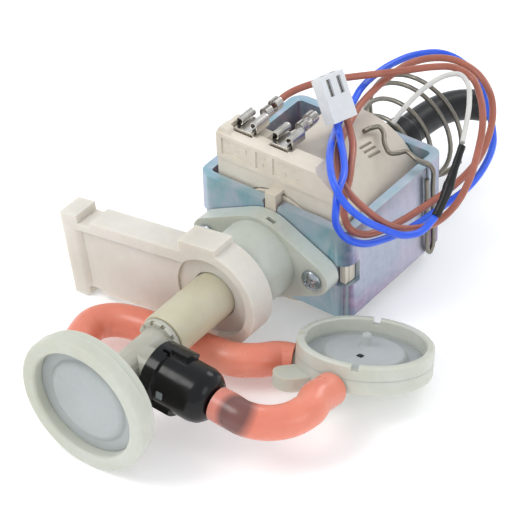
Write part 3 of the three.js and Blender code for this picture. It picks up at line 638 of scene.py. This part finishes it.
EDGE_ROUNDING_MM = {
    "yoke_frame": 0.3, "coil_body": 0.45, "pump_head": 0.7, "silicone_mount": 1.3, "tee_piece": 0.3,
    "snap_cap": 0.35, "damper_2_base": 0.35, "damper_2_rim": 0.25, "connector_housing": 0.25,
    "terminal_tab_left": 0.08, "terminal_tab_right": 0.08, "head_screw_left": 0.12, "head_screw_right": 0.12,
    "plunger": 0.2, "coil_bobbin": 0.15, "inlet_fitting": 0.2, "valve_seat": 0.15, "spring_stop": 0.15,
    "outlet_valve": 0.1, "inlet_valve": 0.1, "piston_seal": 0.15, "cap_seal": 0.15, "guide_tube": 0.1,
    "front_pole_sleeve": 0.1, "rear_pole_sleeve": 0.1, "air_gap_spacer": 0.1, "coil_winding": 0.2,
    "connector_contact_a": 0.05, "connector_contact_b": 0.05,
}
for node, width in EDGE_ROUNDING_MM.items():
    soften(node, width)

# ---------------------------------------------------------------- outlet tube and front damper

# Profiles are (radius, y) or (radius, y, fillet) in mm.
OUTLET_TUBE = [(5.2, -52, 0.4), (7.2, -52, 0.5), (7.2, -13.5, 0.3), (5.2, -13.5, 0.3)]
FRONT_CUP = [(3, -80, 0.2), (5.25, -80, 0.2), (5.25, -74.5, 0.4), (6.8, -74.5, 0.5), (7.4, -80.6, 1.2),
             (19.4, -80.6, 0.8), (20.8, -81.6, 0.6), (20.8, -84.2, 0.3), (18.6, -84.2, 0.2),
             (18.6, -82.4, 0.3), (3, -82.4, 0.2)]
FRONT_RING = [(17, -88.1, 0.5), (17.6, -88.8, 0.5), (20.9, -88.8, 0.9), (21.5, -88.1, 0.9),
              (21.5, -84.25, 0.4), (17, -84.25, 0.3)]
FRONT_MEMBRANE = [(0, -86.3), (5, -86.28, 1.5), (11.6, -86.25, 1.2), (12.7, -85.8, 0.6),
                  (13.4, -85.2, 0.5), (16.96, -85.2, 0.2), (16.96, -84.4, 0.2), (12.8, -84.4, 0.5),
                  (11.8, -85.1, 0.5), (0, -85.1)]
FLAT_MEMBRANE = [(0, -3.8), (10.6, -3.8, 0.6), (11.8, -5.5, 0.4), (17.55, -5.5, 0.2), (17.55, -4.8, 0.3),
                 (12.7, -4.8, 0.5), (11.7, -2.9, 0.9), (8, -2.0, 2.5), (1.7, -1.4, 0.7), (1.5, 1.7, 0.5),
                 (1.1, 2.55, 0.5), (0, 2.7)]

piece("outlet_tube_skin", turned("outlet_tube_skin", OUTLET_TUBE), "outlet_plastic", "outlet_tube")
piece("front_damper_cup", turned("front_damper_cup", FRONT_CUP, 128), "damper_plastic", "damper_1_cup")
piece("front_damper_ring", turned("front_damper_ring", FRONT_RING, 128), "damper_plastic", "damper_1_ring")
front_membrane = piece("front_damper_membrane",
                       turned("front_damper_membrane", FRONT_MEMBRANE, 128, closed=False),
                       "membrane", "damper_1_disc")
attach(front_membrane, "front_damper_disc")

# ---------------------------------------------------------------- flat damper's membrane


def turn_about(axis, degrees):
    """A turn about one axis."""
    return Matrix.Rotation(math.radians(degrees), 4, axis)


FLAT_PLACE = Matrix.Translation((43.65, -13.26, -6.66)) @ turn_about("X", -17.28) @ turn_about("Y", -5.89)
UPRIGHT = turn_about("X", 90)

flat_membrane = piece("flat_damper_membrane",
                      turned("flat_damper_membrane", FLAT_MEMBRANE, 96, FLAT_PLACE @ UPRIGHT, False),
                      "membrane", "damper_2_disc")
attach(flat_membrane, "flat_damper_disc")

# ---------------------------------------------------------------- catch and vent


def block(name, slot, place, size, rounding, body=BODY):
    """A small moulded block with rounded edges, placed in the pump's millimetres."""
    work = bmesh.new()
    made = bmesh.ops.create_cube(work, size=1.0)
    bmesh.ops.transform(work, matrix=Matrix.Diagonal((*(Vector(size) * MM), 1)), verts=made["verts"])
    bmesh.ops.bevel(work, geom=work.edges[:], offset=rounding * MM, segments=3, affect="EDGES")
    placed = Matrix.Translation(at(place.translation)) @ place.to_3x3().to_4x4()
    bmesh.ops.transform(work, matrix=placed, verts=work.verts[:])
    mesh = bpy.data.meshes.new(name)
    work.to_mesh(mesh)
    work.free()
    obj = piece(name, mesh, slot)
    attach(obj, body)
    return obj


# The tee's side branch: how far out it is along the pump, and how far it leans down.
BRANCH_Y = -63.7
BRANCH_TILT = 4.5

# The grey catch that shows through the snap cap's side.
CATCH_PLACE = (Matrix.Translation((0, BRANCH_Y, 0)) @ turn_about("Y", BRANCH_TILT) @ turn_about("X", -5)
               @ Matrix.Translation((14.5, -8.25, 0)))
catch = block("cap_catch", "head_plastic", CATCH_PLACE, (2.1, 0.9, 2.3), 0.15)
catch.data.materials[0] = LOOKS["catch_plastic"]

# The square vent beside the flat membrane's pin.
VENT_PLACE = FLAT_PLACE @ Matrix.Translation((2.5, -6.5, -1.95))
block("membrane_vent", "black_rubber", VENT_PLACE, (1.8, 1.7, 0.5), 0.12, "flat_damper_disc")

# ---------------------------------------------------------------- hoses

# The flat damper's two ports: degrees round its axis, and height in mm.
PORTS = ((-84, -8.1), (205, -9.1))
HOSE_SIDES = 32
HOSE_1_BORE = 3.95
HOSE_2_RADIUS = 5.1
HOSE_2_BORE = 3.7


def on_port(index, distance):
    """A point on a flat damper port, at a distance from the damper's own axis."""
    angle, height = PORTS[index]
    return FLAT_PLACE @ turn_about("Z", angle) @ Vector((distance, 0, height))


def on_branch(distance):
    """A point on the tee's side branch, at a distance from the pump axis."""
    tilt = math.radians(BRANCH_TILT)
    return Vector((distance * math.cos(tilt), BRANCH_Y, -distance * math.sin(tilt)))


HOSE_1 = [on_branch(28.6), on_branch(33), on_branch(38), (42.6, -60.2, -4.7), (46.9, -55.2, -5.1),
          (48.9, -48.5, -5), on_port(0, 29), on_port(0, 25), on_port(0, 20.6)]
HOSE_2 = [on_port(1, 20.4), on_port(1, 25), (18.6, -32.6, -12.8), (13.4, -36, -12.7), (6, -37.4, -12.7),
          (-3, -37.8, -12.7), (-12, -38.6, -12.8), (-20.5, -39.4, -13), (-27.5, -42.2, -13),
          (-30.8, -47, -13), (-30, -53, -13.2), (-27.6, -59, -13.6)]
ELBOW = [(0, 60.4, 0), (0, 66, 0), (0, 70.5, 0), (0, 74, 0), (0.2, 80, -0.2), (0.9, 86.5, -0.5),
         (2.8, 92.8, -1.1), (6, 98, -2.1), (10.4, 101.8, -3.2)]


def hose_1_radius(t):
    """A little fatter where the hose is stretched over the cap's barb."""
    return 5.05 + 0.1 * math.exp(-((t - 0.1) / 0.06) ** 2)


piece("hose_front", pipe("hose_front", smooth_path(HOSE_1), hose_1_radius, HOSE_1_BORE, HOSE_SIDES),
      "hose", "hose_1")
piece("hose_rear", pipe("hose_rear", smooth_path(HOSE_2), HOSE_2_RADIUS, HOSE_2_BORE, HOSE_SIDES),
      "hose", "hose_2")

# The cuff's end and the taper are shares of the elbow's length.
CUFF_RADIUS = 6.5
ELBOW_RADIUS = 5.0
CUFF_END = 0.24
TAPER = 0.05


def elbow_radius(t):
    """Cuff over the nipple, a short taper, then the plain hose."""
    share = min(max((t - CUFF_END) / TAPER, 0), 1)
    return CUFF_RADIUS - (CUFF_RADIUS - ELBOW_RADIUS) * (3 * share ** 2 - 2 * share ** 3)


def elbow_bore(t):
    """Wide inside the cuff, narrow beyond it."""
    return 4.2 if t < 0.22 else 3.05


piece("inlet_elbow_skin",
      pipe("inlet_elbow_skin", smooth_path(ELBOW, 10), elbow_radius, elbow_bore, HOSE_SIDES),
      "black_rubber", "inlet_elbow")

# ---------------------------------------------------------------- springs and clip wire

STEEL_WIRE_RADIUS = 0.75


def coil(stations, start_angle, per_turn=40):
    """Points of a coil through stations of (radius, y), one turn from each to the next."""
    line = []
    turns = len(stations) - 1
    for i in range(turns * per_turn + 1):
        turn = i / per_turn
        low = min(int(turn), turns - 1)
        share = turn - low
        radius, y = (stations[low][k] * (1 - share) + stations[low + 1][k] * share for k in (0, 1))
        angle = start_angle + 2 * math.pi * turn
        line.append(Vector((radius * math.cos(angle), y, radius * math.sin(angle))))
    return line


def working_spring(node, radius, wire_radius, held, driven, turns=5):
    """A coil spring inside the pump, drawn as even turns from the end that is held to the end that the
    sliding piece drives.
    """
    front, rear = sorted((held, driven))
    stations = [(radius, front + (rear - front) * i / turns) for i in range(turns + 1)]
    mesh = pipe(f"{node}_wire", coil(stations, 0, 24), wire_radius, None, 12)
    mesh.materials.append(LOOKS["spring_steel"])
    smooth(mesh)
    obj = bpy.data.objects.new(f"{node}_wire", mesh)
    bpy.context.scene.collection.objects.link(obj)
    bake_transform(obj)
    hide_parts(node)


working_spring("buffer_spring", 4.5, 0.45, -3.5, 13.2)
working_spring("main_spring", 4.2, 0.45, 52.4, 38.8)
working_spring("outlet_spring", 2.4, 0.35, -32.4, -21.9)

SPRING = [(9.4, 52.4), (10.9, 58), (12.9, 64.6), (16.4, 70.9), (17.8, 75.2), (18, 78)]
wire("suspension_spring_wire", coil(SPRING, -0.5), STEEL_WIRE_RADIUS, "spring_steel", "suspension_spring")

CLIP = [(8.4, 35.9, 24.4), (8.6, 39.3, 23.7), (10, 41.6, 23.4), (12.2, 40.6, 22.8), (15.2, 36.9, 22.2),
        (18.6, 34.8, 21.4), (20, 37.4, 20.4), (21, 40, 19.8), (25.4, 39.4, 18.8), (28, 41, 17.6),
        (28.9, 42.6, 14.6), (28.7, 43, 8), (28.7, 43.4, 0), (28.7, 43.7, -8), (28.7, 43.6, -14),
        (28.7, 42.2, -16), (28.7, 40.8, -14.4), (28.7, 40.4, -8), (28.7, 40.1, 0), (28.7, 39.8, 8),
        (28.7, 39.6, 13)]
wire("clip_wire_rod", smooth_path(CLIP), STEEL_WIRE_RADIUS, "spring_steel", "clip_wire")

# ---------------------------------------------------------------- receptacles

TERMINAL_X = (-14.4, -1.4)
RECEPTACLE_FLOOR = 31.22
SHEET_MM = 0.35
SHEET_STEPS = 10


def strip(name, outline, y0, y1):
    """Sheet metal: an outline in x and z swept along Y and thickened both ways."""
    points, faces = [], []
    for i in range(SHEET_STEPS + 1):
        y = y0 + (y1 - y0) * i / SHEET_STEPS
        points += [at((x, y, z)) for x, z in outline]
    width = len(outline)
    for i in range(SHEET_STEPS):
        for k in range(width - 1):
            a = i * width + k
            faces.append([a, a + 1, a + width + 1, a + width])
    mesh = bpy.data.meshes.new(name)
    mesh.from_pydata([tuple(p) for p in points], [], faces)
    obj = bpy.data.objects.new(name, mesh)
    bpy.context.scene.collection.objects.link(obj)
    solid = obj.modifiers.new("sheet", "SOLIDIFY")
    solid.thickness = SHEET_MM * MM
    solid.offset = 0
    edge = obj.modifiers.new("edges", "BEVEL")
    edge.width = 0.07 * MM
    edge.segments = 2
    edge.limit_method = "ANGLE"
    edge.angle_limit = math.radians(60)
    return obj


def curl_outline(x, floor, wall, height, radius, turn):
    """The floor of a receptacle with both edges rolled over and down towards the blade, turn in degrees."""
    def roll(side):
        centre_x, centre_z = wall - radius, floor + height
        result = [(side * wall + x, floor + 0.5)]
        for k in range(17):
            angle = math.radians(turn) * k / 16
            out = centre_x + radius * math.cos(angle)
            result.append((x + side * out, centre_z + radius * math.sin(angle)))
        return result
    base = [(x - wall + 0.35, floor + 0.1), (x - wall + 0.8, floor), (x, floor), (x + wall - 0.8, floor),
            (x + wall - 0.35, floor + 0.1)]
    return list(reversed(roll(-1))) + base + roll(1)


def barrel_outline(x, floor, radius, opening):
    """A crimped barrel, opening half a gap in degrees, whose two lips meet and dip along the top."""
    lip = floor + 2 * radius - 0.75
    result = [(x + 0.25, lip)]
    for k in range(25):
        angle = math.radians(90 - opening) - math.radians(360 - 2 * opening) * k / 24
        result.append((x + radius * math.cos(angle), floor + radius + radius * math.sin(angle)))
    result.append((x - 0.25, lip))
    return result


def neck_outline(x, floor):
    """The flat neck between the rolls and the crimps, with its edges turned up."""
    return [(x - 1.5, floor + 0.25), (x - 1.1, floor), (x, floor), (x + 1.1, floor), (x + 1.5, floor + 0.25)]


def joined(name, objects):
    """Several modified objects as one mesh."""
    depsgraph = bpy.context.evaluated_depsgraph_get()
    work = bmesh.new()
    for obj in objects:
        mesh = obj.evaluated_get(depsgraph).to_mesh()
        work.from_mesh(mesh)
    mesh = bpy.data.meshes.new(name)
    work.to_mesh(mesh)
    work.free()
    for obj in objects:
        bpy.data.objects.remove(obj)
    return mesh


for side, x in zip(("left", "right"), TERMINAL_X):
    name = f"receptacle_{side}_sheet"
    barrel_floor = RECEPTACLE_FLOOR - 0.02
    parts = [
        strip("roll", curl_outline(x, RECEPTACLE_FLOOR, 3.62, 2.72, 1.1, 245), 8.2, 14.6),
        strip("neck", neck_outline(x, RECEPTACLE_FLOOR), 14.3, 24.2),
        strip("wire_crimp", barrel_outline(x, barrel_floor, 1.5, 14), 16.8, 19.6),
        strip("insulation_crimp", barrel_outline(x, barrel_floor, 1.78, 12), 21.2, 24.2),
    ]
    bpy.context.view_layer.update()
    piece(name, joined(name, parts), "tin_plate", f"receptacle_{side}")

# ---------------------------------------------------------------- relief on the coil's label panels

# Pads as (x, z, width, height) in mm, on the panels at PANEL_Y.
PANEL_Y = 3.88
PAD_DEPTH = 0.36
PAD_ROUNDING = 0.09
RELIEF = [(-18.9, 28.1, 2.6, 0.5), (-18.4, 26.6, 1.6, 0.5), (-15.2, 28.1, 1.4, 0.5),
          (-15.0, 26.6, 2.2, 0.5), (-12.2, 27.4, 1.6, 1.6), (-18.8, 24.9, 3.2, 0.45),
          (-14.4, 24.9, 2.2, 0.45), (-5.7, 27.6, 2.2, 0.5), (-5.7, 25.4, 1.2, 1.2),
          (1.2, 27.9, 3.0, 0.5), (5.6, 27.9, 2.0, 0.5), (2.4, 25.4, 1.2, 1.4), (6.6, 25.4, 2.0, 0.5)]


def relief():
    """Small raised pads that stand in for the moulded marks on the label panels."""
    work = bmesh.new()
    for x, z, width, height in RELIEF:
        made = bmesh.ops.create_cube(work, size=1.0)
        size = Matrix.Diagonal((width * MM, PAD_DEPTH * MM, height * MM, 1))
        place = Matrix.Translation(at((x, PANEL_Y, z))) @ size
        bmesh.ops.transform(work, matrix=place, verts=made["verts"])
    bmesh.ops.bevel(work, geom=work.edges[:], offset=PAD_ROUNDING * MM, segments=2, affect="EDGES")
    mesh = bpy.data.meshes.new("coil_relief")
    work.to_mesh(mesh)
    work.free()
    return mesh


piece("coil_relief", relief(), "coil_plastic")

# ---------------------------------------------------------------- wiring

BLUE = [(6.26, 24.11, 35.43), (7.62, 23.6, 33.15), (9.3, 22.2, 31.4), (12.3, 18.7, 31.5),
        (16.5, 14, 31.5), (22, 6.5, 32), (25.5, -1.5, 31.5), (27, -4.5, 28.5), (27, -4.5, 23),
        (28.5, -2, 17), (31, 3.5, 12.5), (32.5, 12, 9.5), (34.5, 20, 8.5), (36, 28.5, 8.5),
        (37.5, 38.5, 9), (38.5, 47.5, 9.5), (37.5, 57.5, 10.5), (34.5, 67, 12), (31, 72, 14),
        (26, 77, 17), (19.5, 82.5, 20), (14, 84.5, 22.5), (8, 85, 24), (3.5, 83, 25), (-1, 76.5, 26),
        (-3, 67.5, 27), (-3, 58, 28), (-1.5, 48.5, 29), (0.5, 41, 28.5), (1, 34.5, 27), (4, 27, 27.1),
        (10.5, 16, 31.5), (18.5, 4.5, 35), (25.5, -3, 35), (30, -4, 31), (34, -1, 25.5), (37, 4.5, 20),
        (40, 10, 15.5), (42, 16.5, 13.5), (42, 24, 14)]
BROWN = [(7.13, 27.95, 35.09), (8.5, 27.45, 32.82), (10.2, 26.3, 31), (13.5, 23, 29.5),
         (18.5, 15, 28.5), (21.5, 9.5, 27), (23.5, 4.5, 25.5), (25.5, 1.5, 22.5), (27.5, 1, 18.5),
         (29.5, 5.5, 14), (31, 13, 11.5), (32.5, 22, 10.5), (34, 31.5, 10.5), (35.5, 40.5, 11),
         (36.5, 49.5, 12.5), (36.5, 55.5, 14), (34.5, 64, 16), (31, 72, 19.5), (26.5, 77, 22.5),
         (19.5, 80.5, 25), (12, 80, 27), (6.5, 76, 28), (2.5, 68.5, 28.5), (1.5, 59, 28.5),
         (1.5, 50, 28), (2, 43.5, 27.5), (3, 38.5, 27), (5.5, 31, 26.9), (9.5, 22, 28.5),
         (15, 13, 29.5), (21.5, 6, 29.5), (28, 2.5, 28.5), (33.5, 3.5, 24.5), (36.5, 9, 18),
         (38.5, 17.5, 12.5), (41, 26, 10.5), (42.5, 34, 12.5), (41, 43.5, 15), (38, 52.5, 18),
         (34, 61.5, 22.5), (29, 68, 26), (22.5, 73, 28.5), (16.5, 72, 30.5), (12, 67.5, 31.5),
         (6.5, 61.5, 31.5), (1, 54.5, 32), (-5, 46, 33), (-9.5, 39.5, 33.5), (-13, 33, 33.3),
         (-14.3, 28.5, 33.1), (-14.4, 24, 33.05)]
WHITE = [(11.6, 46.4, 22.6), (12, 49.5, 24.4), (12.4, 56, 26.5), (14.3, 62.6, 29), (17.4, 66.5, 31),
         (21, 68, 32), (25.9, 65.3, 32), (31.2, 58.1, 31), (36.2, 48.6, 29.8), (38.8, 43, 28.6)]
SPLICE = [(42.1, 24.6, 14.4), (41.8, 29.5, 18.4), (40.8, 35, 22.8), (39.2, 42.2, 28)]
WIRE_RADIUS = 1.1
LEAD_RADIUS = 0.8


def splice_radius(t):
    """Shrunk sleeve with a fatter middle over the joint."""
    return 1.4 - 0.3 * t + 0.42 * math.exp(-((t - 0.48) / 0.15) ** 2) + 0.04 * math.cos(t * 38)


sleeve = piece("splice_sleeve_skin",
               pipe("splice_sleeve_skin", smooth_path(SPLICE, 14), splice_radius, None, 24),
               "black_rubber", "splice_sleeve")


def free_wire(name, route, radius, slot, node):
    """A loose lead that starts at its route's first point."""
    line = smooth_path(route)
    obj = wire(name, line, radius, slot, node, round_steps=6)


free_wire("white_lead_wire", WHITE, LEAD_RADIUS, "white_insulation", "white_lead")
free_wire("blue_wire_run", list(reversed(BLUE)), WIRE_RADIUS, "blue_insulation", "blue_wire")
free_wire("brown_wire_run", list(reversed(BROWN)), WIRE_RADIUS, "brown_insulation", "brown_wire")
